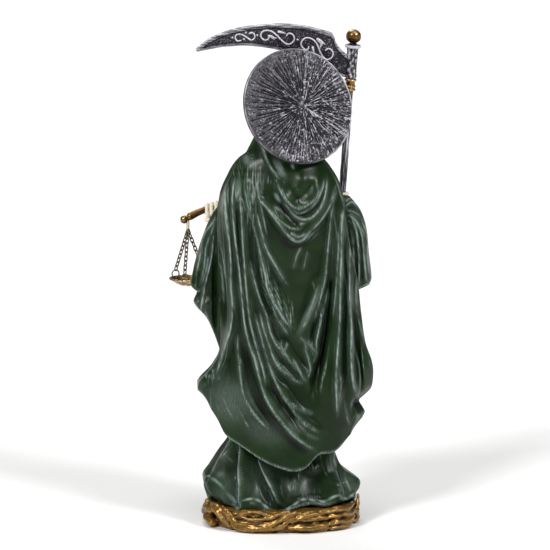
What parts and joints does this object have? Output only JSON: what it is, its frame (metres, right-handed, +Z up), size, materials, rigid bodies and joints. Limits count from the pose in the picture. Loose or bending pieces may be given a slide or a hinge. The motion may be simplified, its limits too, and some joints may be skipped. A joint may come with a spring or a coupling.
{
  "type": "santa muerte figure",
  "caption": "Standing hooded skeleton figure in a long draped cloak, with a fluted halo, a tall scythe and hanging scales, on a low gilded ground of roots.",
  "frame": {"origin": "middle of the flat underside of the gilded ground", "axes": "+Z up through the figure, -Y the way the figure faces, +X the figure's left, the side of the scales"},
  "size_m": [0.0939, 0.0628, 0.2282],
  "materials": {
    "green_cloth": "cold-cast resin, hand painted dark green with pale dry-brushed crests and a satin varnish",
    "aged_bone": "cold-cast resin, hand painted bone with a brown wash: the skull and hands of the figure",
    "gilded_ground": "cold-cast resin, gold paint with a dark brown wash",
    "silvered_resin": "cold-cast resin, near-black metallic paint dry-brushed with silver",
    "antique_gold": "antiqued gold, bright on the edges and brown in the hollows",
    "dark_wire": "blackened wire chain, worn bright on the outer sides of the links"
  },
  "bodies": {
    "root": {"base": "gilded_ground", "figure": "green_cloth", "halo": "silvered_resin", "scythe_staff": "silvered_resin", "scythe_ferrule": "antique_gold", "scythe_head": "silvered_resin", "scale_beam": "antique_gold", "outer_pan_chains": "dark_wire", "outer_pan": "antique_gold", "inner_pan_chains": "dark_wire", "inner_pan": "antique_gold"}
  },
  "joints": []
}
